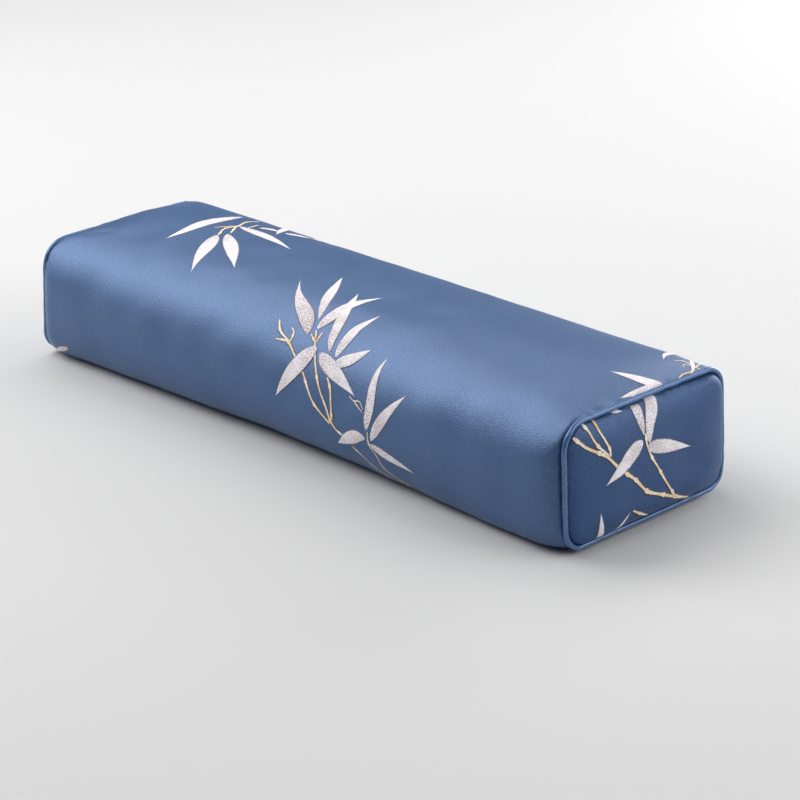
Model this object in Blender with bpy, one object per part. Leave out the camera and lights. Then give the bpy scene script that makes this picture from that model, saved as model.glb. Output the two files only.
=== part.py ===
"""Buckwheat pillow: a long box-shaped body of satin filled with husks, closed by two
end panels, with a corded piping sewn into the seam around each panel.

Metres, +Z up. The origin is on the surface that the pillow rests on, under its middle.
+X runs along the pillow and -Y is its front.
"""

import math
from collections import namedtuple

import bmesh
import bpy
from mathutils import Vector

MM = 0.001

# The pillow between its two seams, measured along the piping's centre line.
LENGTH = 489.2 * MM
PANEL_WIDTH = 146.5 * MM
PANEL_HEIGHT = 79.3 * MM
PANEL_BASE = 4.0 * MM           # the seam hangs this far above the surface
PANEL_BOW = 0.6 * MM            # its upper three sides bow outward
END_LEAN = 4.4 * MM             # the filling pushes a panel's base further out than its top
END_DOME = 7.0 * MM             # and its middle further out than its rim

CORD_DIAMETER = 3.4 * MM
SHEET = 1.2 * MM
GAP = 0.3 * MM

CROWN = 10.0 * MM               # the body's top is higher along its middle line
SIDE_CROWN = 3.0 * MM           # and its sides stand out at half their height
GATHER_REACH = 30.0 * MM        # the seam draws the body in over this length
CROWN_REACH = 42.0 * MM         # and its crown down over this length

Corners = namedtuple("Corners", "top_front top_back base_front base_back")

# How steeply the body's sides and its crown rise from the seam: the powers of a curve
# that eases out.
Rise = namedtuple("Rise", "sides crown")
BASE_RISE = 3.0

# The two ends. The far one, at -X, is the fuller one, with rounder upper corners.
End = namedtuple("End", "side corners rise")
NEAR = End(1.0, Corners(16.0 * MM, 13.0 * MM, 13.0 * MM, 14.0 * MM), Rise(4.5, 2.0))
FAR = End(-1.0, Corners(17.0 * MM, 20.0 * MM, 13.0 * MM, 14.0 * MM), Rise(6.5, 5.0))

# How far the body's front, back and top edges stand out from its seams, and its corner
# radii, in millimetres, at places measured from the middle of its length.
Section = namedtuple("Section", "place front back top top_front top_back base_front base_back")
SECTIONS = (
    Section(-244, 4.2, 5.0, -0.8, 24, 22, 17, 16),
    Section(-190, 4.2, 5.0, -0.5, 30, 21, 21, 20),
    Section(-110, 3.6, 5.0, -0.5, 33, 21, 23, 23),
    Section(-40, 3.0, 5.0, -0.3, 36, 22, 26, 25),
    Section(15, 2.8, 5.0, -0.2, 38, 22, 26, 26),
    Section(75, 3.5, 5.0, -0.2, 36, 22, 24, 25),
    Section(135, 4.8, 5.0, -0.5, 32, 21, 20, 22),
    Section(195, 5.8, 5.0, -0.8, 28, 20, 16, 18),
    Section(244, 5.2, 5.0, -0.9, 24, 18, 15, 15),
)

CORD_CLEAR = CORD_DIAMETER / 2 + GAP
PANEL_FACE = 0.2 * MM           # a panel's outer face, beyond the plane of its seam
PANEL_BACK = PANEL_FACE - SHEET
PANEL_RIM = -(CORD_CLEAR + GAP)  # its rim, outward from the seam line

# The body's skin turns in under the piping: distance inward from the seam plane, and
# distance outward from the seam line.
Rim = namedtuple("Rim", "inward outward")
RIM = (
    Rim(CORD_CLEAR + 0.2 * MM, 0.3 * MM),
    Rim(CORD_CLEAR + 0.1 * MM, -1.9 * MM),
    Rim(1.8 * GAP - PANEL_BACK, -(CORD_CLEAR + 0.5 * MM)),
)

# Steps of the mesh.
CORNER_STEPS = 6
LONG_SIDE_STEPS = 12
SHORT_SIDE_STEPS = 7
SEAM_RINGS = (3.6 * MM, 6.0 * MM, 9.5 * MM, 15.0 * MM, 23.0 * MM, 33.0 * MM, 45.0 * MM)
BODY_RINGS = 20
CAP_RINGS = (0.93, 0.82, 0.60, 0.36, 0.16)

SATIN_BLUE = (0.057, 0.128, 0.291, 1.0)
CORD_BLUE = (0.074, 0.161, 0.350, 1.0)


def clear_scene():
    for obj in list(bpy.data.objects):
        bpy.data.objects.remove(obj, do_unlink=True)


def fabric(name, color, roughness):
    material = bpy.data.materials.new(name)
    material.use_nodes = True
    shader = material.node_tree.nodes["Principled BSDF"]
    shader.inputs["Base Color"].default_value = color
    shader.inputs["Roughness"].default_value = roughness
    shader.inputs["Metallic"].default_value = 0.0
    return material


def mix(a, b, t):
    return a + (b - a) * t


def section_at(x):
    """The table's row at x, in metres, read from a smooth curve through the rows."""
    place = x / MM
    rows = SECTIONS
    i = 0
    while i < len(rows) - 2 and place > rows[i + 1].place:
        i += 1
    before = rows[max(i - 1, 0)]
    start, end = rows[i], rows[i + 1]
    after = rows[min(i + 2, len(rows) - 1)]
    span = end.place - start.place
    t = min(max((place - start.place) / span, 0.0), 1.0)
    values = []
    for p, a, b, n in zip(before, start, end, after):
        slope_a = (b - p) / (end.place - before.place) * span
        slope_b = (n - a) / (after.place - start.place) * span
        value = (
            a * (2 * t**3 - 3 * t**2 + 1)
            + slope_a * (t**3 - 2 * t**2 + t)
            + b * (3 * t**2 - 2 * t**3)
            + slope_b * (t**3 - t**2)
        )
        values.append(value * MM)
    return Section(*values)


def outline(front, back, top, base, corners, side_bow, top_bow):
    """A closed ring of (y, z) points: a rounded oblong between four planes, whose front,
    back and top bow outward from it. Each ring has the same steps, so that rings of
    unlike sections join point to point. It starts on the front, below its top corner,
    and runs over the top to the back.
    """
    middle_z = (top + base) / 2
    half_z = (top - base) / 2
    half_y = (back - front) / 2
    middle_y = (back + front) / 2

    arcs = (
        (front + corners.top_front, top - corners.top_front, corners.top_front, 180.0),
        (back - corners.top_back, top - corners.top_back, corners.top_back, 90.0),
        (back - corners.base_back, base + corners.base_back, corners.base_back, 0.0),
        (front + corners.base_front, base + corners.base_front, corners.base_front, -90.0),
    )
    side_steps = (LONG_SIDE_STEPS, SHORT_SIDE_STEPS, LONG_SIDE_STEPS, SHORT_SIDE_STEPS)

    points = []
    for arc, (cy, cz, radius, start) in enumerate(arcs):
        for step in range(CORNER_STEPS + 1):
            angle = math.radians(start - 90.0 * step / CORNER_STEPS)
            points.append((cy + radius * math.cos(angle), cz + radius * math.sin(angle)))
        next_cy, next_cz, next_radius, next_start = arcs[(arc + 1) % 4]
        angle = math.radians(next_start)
        target = (next_cy + next_radius * math.cos(angle), next_cz + next_radius * math.sin(angle))
        here = points[-1]
        for step in range(1, side_steps[arc]):
            t = step / side_steps[arc]
            points.append((mix(here[0], target[0], t), mix(here[1], target[1], t)))

    bowed = []
    for y, z in points:
        across = (y - middle_y) / half_y
        up = (z - middle_z) / half_z
        y += side_bow * across * (1.0 - up * up)
        if up > 0.0:
            z += top_bow * up * (1.0 - across * across)
        bowed.append((y, z))
    return bowed


def seam_outline(end, outward=0.0, shrink=1.0):
    """An end panel's outline, moved outward or shrunk about its middle."""
    corners = Corners(*(radius + outward for radius in end.corners))
    ring = outline(
        -PANEL_WIDTH / 2 - outward,
        PANEL_WIDTH / 2 + outward,
        PANEL_BASE + PANEL_HEIGHT + outward,
        PANEL_BASE - outward,
        corners,
        PANEL_BOW,
        PANEL_BOW,
    )
    middle_z = PANEL_BASE + PANEL_HEIGHT / 2
    return [(y * shrink, middle_z + (z - middle_z) * shrink) for y, z in ring]


def lean_at(z):
    """How much further out than the middle of its height an end is at height z."""
    return END_LEAN * (0.5 - (z - PANEL_BASE) / PANEL_HEIGHT)


def dome_at(y, z):
    """How far the filling pushes an end out at (y, z), past the plane of the panel's rim."""
    across = y / (PANEL_WIDTH / 2 + PANEL_RIM)
    up = (z - PANEL_BASE - PANEL_HEIGHT / 2) / (PANEL_HEIGHT / 2 + PANEL_RIM)
    return END_DOME * max(1.0 - across**4, 0.0) * max(1.0 - up**4, 0.0)


def end_point(end, beyond, y, z):
    """A point of an end, beyond the plane of its seam."""
    return Vector((end.side * (LENGTH / 2 + beyond + dome_at(y, z) + lean_at(z)), y, z))


def end_ring(end, outward, beyond, shrink=1.0):
    return [end_point(end, beyond, y, z) for y, z in seam_outline(end, outward, shrink)]


def end_middle(end, beyond):
    return end_point(end, beyond, 0.0, PANEL_BASE + PANEL_HEIGHT / 2)


def ease_out(distance, reach, power):
    """From 0 at the body's rim to 1 at reach from it, ever less steeply."""
    t = min(max((distance - RIM[0].inward) / reach, 0.0), 1.0)
    return 1.0 - (1.0 - t) ** power


def body_ring(x):
    """A ring of the body where x is its place at mid-height, as an unleaning section."""
    end = NEAR if x > 0.0 else FAR
    distance = LENGTH / 2 - abs(x)
    swell = ease_out(distance, GATHER_REACH, end.rise.sides)
    drop = ease_out(distance, GATHER_REACH, BASE_RISE)
    lift = ease_out(distance, CROWN_REACH, end.rise.crown)
    row = section_at(x)
    rim = RIM[0].outward
    corners = Corners(
        *(
            mix(seam + rim, full, swell)
            for seam, full in zip(
                end.corners,
                (row.top_front, row.top_back, row.base_front, row.base_back),
            )
        )
    )
    ring = outline(
        -PANEL_WIDTH / 2 - mix(rim, row.front, swell),
        PANEL_WIDTH / 2 + mix(rim, row.back, swell),
        PANEL_BASE + PANEL_HEIGHT + mix(rim, row.top, swell),
        mix(PANEL_BASE - rim, 0.0, drop),
        corners,
        mix(PANEL_BOW, SIDE_CROWN, swell),
        mix(PANEL_BOW, CROWN, lift),
    )
    fade = 1.0 - swell
    return [Vector((x + end.side * lean_at(z) * fade, y, z)) for y, z in ring]


def object_from_rings(name, rings, middles, collection, material):
    """Join rings of points into a closed solid, capped by a fan to a middle point at the
    first ring and at the last.
    """
    bm = bmesh.new()
    rows = [[bm.verts.new(point) for point in ring] for ring in rings]
    count = len(rows[0])
    for row, next_row in zip(rows, rows[1:]):
        for i in range(count):
            j = (i + 1) % count
            bm.faces.new((row[i], row[j], next_row[j], next_row[i]))
    for row, point in zip((rows[0], rows[-1]), middles):
        middle = bm.verts.new(point)
        for i in range(count):
            bm.faces.new((row[i], row[(i + 1) % count], middle))
    bmesh.ops.recalc_face_normals(bm, faces=bm.faces)
    mesh = bpy.data.meshes.new(name)
    bm.to_mesh(mesh)
    bm.free()
    mesh.shade_smooth()
    mesh.set_sharp_from_angle(angle=math.radians(40.0))
    mesh.materials.append(material)
    obj = bpy.data.objects.new(name, mesh)
    collection.objects.link(obj)
    return obj


def make_body(collection, material):
    """The filled body, from its far end's middle to its near end's middle."""
    face = RIM[-1]

    def cap(end):
        rings = [end_ring(end, rim.outward, -rim.inward) for rim in RIM]
        rings += [end_ring(end, face.outward, -face.inward, shrink) for shrink in CAP_RINGS]
        return rings

    reach = LENGTH / 2
    places = [-reach + distance for distance in SEAM_RINGS]
    inner = reach - SEAM_RINGS[-1]
    places += [mix(-inner, inner, step / BODY_RINGS) for step in range(1, BODY_RINGS)]
    places += [reach - distance for distance in reversed(SEAM_RINGS)]

    rings = cap(FAR)[::-1] + [body_ring(x) for x in places] + cap(NEAR)
    middles = (end_middle(FAR, -face.inward), end_middle(NEAR, -face.inward))
    return object_from_rings("pillow_body", rings, middles, collection, material)


def make_end_panel(name, end, collection, material):
    """A sheet over the body's end, its rim drawn in under the piping."""
    shrinks = (1.0,) + CAP_RINGS
    rings = [end_ring(end, PANEL_RIM, PANEL_BACK, shrink) for shrink in reversed(shrinks)]
    rings += [end_ring(end, PANEL_RIM, PANEL_FACE, shrink) for shrink in shrinks]
    middles = (end_middle(end, PANEL_BACK), end_middle(end, PANEL_FACE))
    return object_from_rings(name, rings, middles, collection, material)


def make_piping(name, end, collection, material):
    """A cord around the whole seam, as one closed loop."""
    points = end_ring(end, 0.0, 0.0)
    curve = bpy.data.curves.new(name, "CURVE")
    curve.dimensions = "3D"
    curve.bevel_depth = CORD_DIAMETER / 2
    curve.bevel_resolution = 2
    spline = curve.splines.new("POLY")
    spline.points.add(len(points) - 1)
    for target, point in zip(spline.points, points):
        target.co = (*point, 1.0)
    spline.use_cyclic_u = True
    curve.materials.append(material)
    obj = bpy.data.objects.new(name, curve)
    collection.objects.link(obj)
    return obj


def main():
    clear_scene()
    collection = bpy.data.collections.new("buckwheat_pillow")
    bpy.context.scene.collection.children.link(collection)

    satin = fabric("satin", SATIN_BLUE, 0.45)
    panel_satin = fabric("panel_satin", SATIN_BLUE, 0.45)
    piping_satin = fabric("piping_satin", CORD_BLUE, 0.40)

    make_body(collection, satin)
    for word, end in (("right", NEAR), ("left", FAR)):
        make_end_panel(f"end_panel_{word}", end, collection, panel_satin)
        make_piping(f"piping_{word}", end, collection, piping_satin)


main()
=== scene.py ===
import math
from collections import namedtuple

import bmesh
import bpy
import numpy as np
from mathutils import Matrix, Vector


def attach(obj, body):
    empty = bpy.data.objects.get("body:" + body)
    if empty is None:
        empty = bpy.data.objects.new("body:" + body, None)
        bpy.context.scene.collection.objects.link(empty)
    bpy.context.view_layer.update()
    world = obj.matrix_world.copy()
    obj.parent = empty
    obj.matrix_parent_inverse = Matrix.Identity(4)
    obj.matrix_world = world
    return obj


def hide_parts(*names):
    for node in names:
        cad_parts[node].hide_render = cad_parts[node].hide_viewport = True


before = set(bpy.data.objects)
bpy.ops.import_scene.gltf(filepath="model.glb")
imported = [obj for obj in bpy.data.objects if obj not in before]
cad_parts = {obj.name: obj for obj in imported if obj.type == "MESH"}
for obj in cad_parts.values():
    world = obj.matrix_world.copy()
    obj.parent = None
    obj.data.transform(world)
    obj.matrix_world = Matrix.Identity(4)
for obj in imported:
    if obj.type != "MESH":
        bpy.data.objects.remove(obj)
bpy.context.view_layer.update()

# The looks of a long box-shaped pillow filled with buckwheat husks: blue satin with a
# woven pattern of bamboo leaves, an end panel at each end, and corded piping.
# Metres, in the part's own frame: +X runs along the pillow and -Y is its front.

MM = 0.001

# The pillow's driving sizes, as in the part's own source.
LENGTH = 489.2 * MM
PANEL_WIDTH = 146.5 * MM
PANEL_HEIGHT = 79.3 * MM
PANEL_BASE = 4.0 * MM
PANEL_BOW = 0.6 * MM
END_LEAN = 4.4 * MM
END_DOME = 7.0 * MM
CORD_DIAMETER = 3.4 * MM
SHEET = 1.2 * MM
GAP = 0.3 * MM
CROWN = 10.0 * MM
SIDE_CROWN = 3.0 * MM
GATHER_REACH = 30.0 * MM
CROWN_REACH = 42.0 * MM

Corners = namedtuple("Corners", "top_front top_back base_front base_back")
Rise = namedtuple("Rise", "sides crown")
BASE_RISE = 3.0

End = namedtuple("End", "side corners rise")
NEAR = End(1.0, Corners(16.0 * MM, 13.0 * MM, 13.0 * MM, 14.0 * MM), Rise(4.5, 2.0))
FAR = End(-1.0, Corners(17.0 * MM, 20.0 * MM, 13.0 * MM, 14.0 * MM), Rise(6.5, 5.0))

# Along the body, in millimetres: how far its front, back and top stand out past the end
# panels' outline, and its four corners' radii.
Section = namedtuple("Section", "place front back top top_front top_back base_front base_back")
SECTIONS = (
    Section(-244, 4.2, 5.0, -0.8, 24, 22, 17, 16),
    Section(-190, 4.2, 5.0, -0.5, 30, 21, 21, 20),
    Section(-110, 3.6, 5.0, -0.5, 33, 21, 23, 23),
    Section(-40, 3.0, 5.0, -0.3, 36, 22, 26, 25),
    Section(15, 2.8, 5.0, -0.2, 38, 22, 26, 26),
    Section(75, 3.5, 5.0, -0.2, 36, 22, 24, 25),
    Section(135, 4.8, 5.0, -0.5, 32, 21, 20, 22),
    Section(195, 5.8, 5.0, -0.8, 28, 20, 16, 18),
    Section(244, 5.2, 5.0, -0.9, 24, 18, 15, 15),
)

CORD_CLEAR = CORD_DIAMETER / 2 + GAP
PANEL_FACE = 0.2 * MM
PANEL_BACK = PANEL_FACE - SHEET
PANEL_RIM = -(CORD_CLEAR + GAP)

# Rings of the body's own ends, where its cloth turns in beside the cord and behind the
# panel: inward from the plane of the seam, and outward from its outline.
Rim = namedtuple("Rim", "inward outward")
RIM = (
    Rim(CORD_CLEAR + 0.2 * MM, 0.3 * MM),
    Rim(CORD_CLEAR + 0.1 * MM, -1.9 * MM),
    Rim(1.8 * GAP - PANEL_BACK, -(CORD_CLEAR + 0.5 * MM)),
)
BODY_END = LENGTH / 2 - RIM[0].inward  # the body's outer cloth ends this far from its middle
PANEL_MIDDLE = np.array([0.0, PANEL_BASE + PANEL_HEIGHT / 2])

# The cloth's own coordinates on the body: along the pillow from its middle, and around
# it from the middle of the base up the front, over the top and down the back.
GIRTH = 441.0 * MM
# The cloth is drawn tight over the top's back edge, which is nearly straight.
TIGHT_EDGE = 292.0 * MM
TIGHT_REACH = 34.0 * MM
TIGHT_SHARE = 0.75

COLUMNS = 300
BODY_ROWS = 230
BODY_EASE = 0.6  # how much closer together the rows are near the seams
ARC_POINTS = 25
# The rings on its ends, each with its share of the outline's size
CAP = [(rim, 1.0) for rim in RIM[1:]]
CAP += [(RIM[-1], share) for share in (0.93, 0.82, 0.60, 0.36, 0.16)]
CAP_STEP = 2.0 * MM  # from one to the next along the cloth


def link_object(name, data):
    obj = bpy.data.objects.new(name, data)
    bpy.context.scene.collection.objects.link(obj)
    return obj


def mix(a, b, t):
    return a + (b - a) * t


def unit(vectors):
    return vectors / np.linalg.norm(vectors, axis=-1, keepdims=True)


def smooth_step(value, start, end):
    """0 up to start, 1 from end on, and a smooth rise between them."""
    t = np.clip((value - start) / (end - start), 0.0, 1.0)
    return t * t * (3.0 - 2.0 * t)


def curve_between(a, slope_a, b, slope_b, t):
    """The cubic that leaves a and reaches b with the given slopes."""
    return (
        a * (2 * t**3 - 3 * t**2 + 1)
        + slope_a * (t**3 - 2 * t**2 + t)
        + b * (3 * t**2 - 2 * t**3)
        + slope_b * (t**3 - t**2)
    )


def lengths_along(points):
    """The length of a line of points up to each of them."""
    steps = np.linalg.norm(np.diff(points, axis=0), axis=1)
    return np.concatenate([[0.0], np.cumsum(steps)])


# The form

def even_ring(points, count):
    """count points, evenly spaced, along a closed ring of points."""
    points = np.vstack([points, points[:1]])
    lengths = lengths_along(points)
    places = np.linspace(0.0, lengths[-1], count, endpoint=False)
    return np.column_stack([np.interp(places, lengths, values) for values in points.T])


def section_at(x):
    """The table's row at x, in metres, read from a smooth curve through the rows."""
    place = x / MM
    i = 0
    while i < len(SECTIONS) - 2 and place > SECTIONS[i + 1].place:
        i += 1
    before = SECTIONS[max(i - 1, 0)]
    start, end = SECTIONS[i], SECTIONS[i + 1]
    after = SECTIONS[min(i + 2, len(SECTIONS) - 1)]
    span = end.place - start.place
    t = min(max((place - start.place) / span, 0.0), 1.0)
    p, a, b, n = (np.array(row) for row in (before, start, end, after))
    slope_a = (b - p) / (end.place - before.place) * span
    slope_b = (n - a) / (after.place - start.place) * span
    return Section(*(curve_between(a, slope_a, b, slope_b, t) * MM))


def outline(front, back, top, base, corners, side_bow, top_bow):
    """A closed ring of evenly spaced (y, z) points: a rounded oblong on a base. Its front,
    back and top stand out past the end panels' outline, and bow outward.
    """
    front, back = -PANEL_WIDTH / 2 - front, PANEL_WIDTH / 2 + back
    top = PANEL_BASE + PANEL_HEIGHT + top
    middle_y, half_y = (back + front) / 2, (back - front) / 2
    middle_z, half_z = (top + base) / 2, (top - base) / 2
    arcs = (
        (front, base, corners.base_front, -90.0),
        (front, top, corners.top_front, 180.0),
        (back, top, corners.top_back, 90.0),
        (back, base, corners.base_back, 0.0),
    )
    points = [(middle_y, base)]
    for y, z, radius, start in arcs:
        y += math.copysign(radius, middle_y - y)
        z += math.copysign(radius, middle_z - z)
        angles = np.radians(start - np.linspace(0.0, 90.0, ARC_POINTS))
        points += list(zip(y + radius * np.cos(angles), z + radius * np.sin(angles)))
    ring = even_ring(np.array(points), 2 * COLUMNS)
    across = (ring[:, 0] - middle_y) / half_y
    up = (ring[:, 1] - middle_z) / half_z
    y = ring[:, 0] + side_bow * across * (1.0 - up**2)
    z = ring[:, 1] + top_bow * np.clip(up, 0.0, 1.0) * (1.0 - across**2)
    return even_ring(np.column_stack([y, z]), COLUMNS)


def seam_outline(end, outward=0.0, shrink=1.0):
    """An end panel's outline, moved outward or shrunk about its middle."""
    corners = Corners(*(radius + outward for radius in end.corners))
    base = PANEL_BASE - outward
    ring = outline(outward, outward, outward, base, corners, PANEL_BOW, PANEL_BOW)
    return PANEL_MIDDLE + (ring - PANEL_MIDDLE) * shrink


def lean_at(z):
    """How much further out than the middle of its height an end is at height z."""
    return END_LEAN * (0.5 - (z - PANEL_BASE) / PANEL_HEIGHT)


def dome_at(y, z):
    """How far the filling pushes an end out at (y, z), past the plane of the panel's rim."""
    across = y / (PANEL_WIDTH / 2 + PANEL_RIM)
    up = (z - PANEL_BASE - PANEL_HEIGHT / 2) / (PANEL_HEIGHT / 2 + PANEL_RIM)
    return END_DOME * np.clip(1.0 - across**4, 0.0, 1.0) * np.clip(1.0 - up**4, 0.0, 1.0)


def end_points(end, beyond, ring):
    """Points of an end, beyond the plane of its seam."""
    y, z = ring[:, 0], ring[:, 1]
    x = end.side * (LENGTH / 2 + beyond + dome_at(y, z) + lean_at(z))
    return np.column_stack([x, ring])


def ease_out(distance, reach, power):
    """From 0 at the body's end to 1 at the reach, fast at first."""
    t = min(max((distance - RIM[0].inward) / reach, 0.0), 1.0)
    return 1.0 - (1.0 - t) ** power


def body_ring(x):
    """A ring of the body where x is its place at mid-height."""
    end = NEAR if x > 0.0 else FAR
    distance = LENGTH / 2 - abs(x)
    swell = ease_out(distance, GATHER_REACH, end.rise.sides)
    drop = ease_out(distance, GATHER_REACH, BASE_RISE)
    lift = ease_out(distance, CROWN_REACH, end.rise.crown)
    row = section_at(x)
    rim = RIM[0].outward
    full = (row.top_front, row.top_back, row.base_front, row.base_back)
    corners = Corners(*(mix(seam + rim, wide, swell) for seam, wide in zip(end.corners, full)))
    ring = outline(
        mix(rim, row.front, swell),
        mix(rim, row.back, swell),
        mix(rim, row.top, swell),
        mix(PANEL_BASE - rim, 0.0, drop),
        corners,
        mix(PANEL_BOW, SIDE_CROWN, swell),
        mix(PANEL_BOW, CROWN, lift),
    )
    along = x + end.side * lean_at(ring[:, 1]) * (1.0 - swell)
    return np.column_stack([along, ring])


# The relief of the filled cloth: husks under it, folds in it, and puckers at the seams.

# A fold's middle, length, width and height in millimetres of cloth, and its turn in degrees
Fold = namedtuple("Fold", "along around length width turn height")
BODY_FOLDS = (
    Fold(60, 118, 46, 9, 28, -0.9),
    Fold(30, 176, 40, 10, 20, -0.5),
    Fold(-162, 205, 30, 8, -50, -0.6),
    Fold(226, 178, 22, 5, -20, -0.6),
    Fold(222, 168, 26, 5, 10, -0.5),
    Fold(218, 190, 24, 6, -38, -0.4),
)

HUSK_WAVES = 26
HUSK_HEIGHT = 0.10 * MM
HUSK_WAVE_MIN = 34.0 * MM
HUSK_WAVE_MAX = 95.0 * MM
FOLD_CALM = 12.0 * MM  # folds and waves fade out this near a seam
REST_REACH = 6.0 * MM  # and this near the resting surface

Pucker = namedtuple("Pucker", "depth reach pitch")
BODY_PUCKERS = Pucker(0.55 * MM, 11.0 * MM, 13.0 * MM)
PANEL_PUCKERS = Pucker(0.9 * MM, 7.0 * MM, 13.0 * MM)
STITCH_PUCKERS = Pucker(1.1 * MM, 3.0 * MM, 4.5 * MM)
PUCKER_SHIFT = 0.35  # how uneven they are: shares of the pitch, depth and reach
PUCKER_DEPTHS = (0.25, 1.0)
PUCKER_WIDTHS = (0.12, 0.26)
PUCKER_REACHES = (0.5, 1.3)
PUCKER_SLANT = 0.35
PUCKER_SPREAD = 1.6  # how much wider a pucker gets over its reach

Beside = namedtuple("Beside", "groove roll")
# The seam's stitches pull the cloth in beside the cord, and the filling swells it up again
# past them. The far end is packed so full that its cloth lies over the cord.
NEAR_SEAM = Beside(0.7 * MM, 1.1 * MM)
FAR_SEAM = Beside(-0.6 * MM, 1.6 * MM)
GROOVE_REACH = 1.2 * MM
SWELL_START = 2.6 * MM
SWELL_REACH = 13.0 * MM


def husk_relief(along, around, seed):
    """Low uneven waves, which close on themselves around the body."""
    draw = np.random.default_rng(seed)
    total = np.zeros(np.broadcast(along, around).shape)
    for _ in range(HUSK_WAVES):
        wave = mix(HUSK_WAVE_MIN, HUSK_WAVE_MAX, draw.random())
        angle = draw.uniform(0.0, math.pi)
        turns = round(math.sin(angle) * GIRTH / wave)
        phase = draw.uniform(0.0, 2 * math.pi)
        height = HUSK_HEIGHT * math.sqrt(wave / HUSK_WAVE_MAX)
        cycles = math.cos(angle) * along / wave + turns * around / GIRTH
        total += height * np.sin(2 * math.pi * cycles + phase)
    return total


def fold_relief(along, around):
    """Long low ridges or valleys that fade towards their ends."""
    total = np.zeros(np.broadcast(along, around).shape)
    for fold in BODY_FOLDS:
        turn = math.radians(fold.turn)
        da = along - fold.along * MM
        dr = around - fold.around * MM
        with_it = (da * math.cos(turn) + dr * math.sin(turn)) / (fold.length * MM / 2)
        across = (dr * math.cos(turn) - da * math.sin(turn)) / (fold.width * MM)
        total += fold.height * MM * np.exp(-(with_it**2) - across**2)
    return total


def pucker_relief(distance, around, length, pucker, seed):
    """Dips drawn in by the seam, fading with distance from it, at uneven places around
    a ring of the given length.
    """
    draw = np.random.default_rng(seed)
    count = round(length / pucker.pitch)
    total = np.zeros(np.broadcast(distance, around).shape)
    for i in range(count):
        place = (i + draw.uniform(-PUCKER_SHIFT, PUCKER_SHIFT)) * length / count
        deep = pucker.depth * draw.uniform(*PUCKER_DEPTHS)
        wide = pucker.pitch * draw.uniform(*PUCKER_WIDTHS)
        far = pucker.reach * draw.uniform(*PUCKER_REACHES)
        slant = draw.uniform(-PUCKER_SLANT, PUCKER_SLANT)
        away = around - place - slant * distance
        away = (away + length / 2) % length - length / 2
        spread = wide * (1.0 + PUCKER_SPREAD * distance / far)
        total -= deep * np.exp(-((away / spread) ** 2) - distance / far)
    return total


# Surfaces: a grid of points with its normals, read at any place between them

Surface = namedtuple("Surface", "points normals")


def grid_normals(points, outward):
    """Normals of a grid whose columns close on themselves, on the side that is outward."""
    around = np.roll(points, -1, axis=1) - np.roll(points, 1, axis=1)
    along = np.gradient(points, axis=0)
    normals = unit(np.cross(around, along))
    return normals if np.sum(normals * outward) > 0.0 else -normals


def read_grid(values, row, column):
    """Bilinear values at fractional rows and columns; the columns close on themselves."""
    rows, columns = values.shape[:2]
    row = np.clip(row, 0.0, rows - 1.0)
    low = np.minimum(row.astype(int), rows - 2)
    left = np.floor(column).astype(int)
    t = (row - low)[..., None]
    s = (column - left)[..., None]
    left, right = left % columns, (left + 1) % columns
    below, above = (mix(values[k, left], values[k, right], s) for k in (low, low + 1))
    return mix(below, above, t)


def ring_places(count, ease):
    """Places of rings along the body, evenly spaced or eased closer near the seams."""
    t = np.linspace(-1.0, 1.0, count)
    return BODY_END * mix(t, np.sin(t * math.pi / 2), ease)


def make_body_surface():
    """The body's outer cloth, with all its relief."""
    places = ring_places(BODY_ROWS, BODY_EASE)
    points = np.array([body_ring(x) for x in places])
    outward = points - points.mean(axis=1, keepdims=True)
    normals = grid_normals(points, outward)
    along = places[:, None]
    around = np.arange(COLUMNS)[None, :] / COLUMNS * GIRTH
    distance = BODY_END - np.abs(along)
    relief = husk_relief(along, around, seed=11) + fold_relief(along, around)
    relief += CREASE_SHARE * crease_relief(places)
    relief *= 1.0 - TIGHT_SHARE * np.exp(-(((around - TIGHT_EDGE) / TIGHT_REACH) ** 2))
    relief *= 1.0 - np.exp(-distance / FOLD_CALM)
    groove, swell = (np.where(along > 0.0, near, far) for near, far in zip(NEAR_SEAM, FAR_SEAM))
    swell = swell * (1.0 - np.exp(-distance / SWELL_START))
    relief -= groove * np.exp(-distance / GROOVE_REACH)
    relief += swell * np.exp(-distance / SWELL_REACH)
    for side, seed in ((-1, 21), (1, 22)):
        relief += pucker_relief(BODY_END - side * along, around, GIRTH, BODY_PUCKERS, seed)
    relief *= np.clip(points[:, :, 2] / REST_REACH, 0.0, 1.0)
    points += normals * relief[:, :, None]
    return Surface(points, grid_normals(points, outward))


# How far each ring of a panel's face is drawn in towards its middle
INNERMOST = 0.01
BACK_EVERY = 6  # its back takes one ring in so many
PANEL_SHRINKS = np.concatenate(
    [1.0 - 0.5 * np.linspace(0.0, 1.0, 30) ** 1.5, np.linspace(0.47, INNERMOST, 15)]
)

PANEL_ROLL = 1.5 * MM  # the panel swells steeply inside its rim
BACK_ROLL = 5.2 * MM  # most along its back edge
BASE_ROLL = 4.2 * MM  # and more along its base than at its front and top
CORNER_CALM = 0.5  # and less where those two meet
LOW = (0.3, 0.95)  # where these set in, as shares of the way to the rim
BEHIND = (0.35, 0.95)
ROLL_REACH = 7.0 * MM
TUCK = 0.9 * MM  # its rim is drawn in behind the cord
TUCK_REACH = 0.8 * MM
PANEL_HUSKS = 0.6  # the husks' waves are lower and closer together on it
PANEL_CLOSER = 2.0
PANEL_CALM = 10.0 * MM


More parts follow.
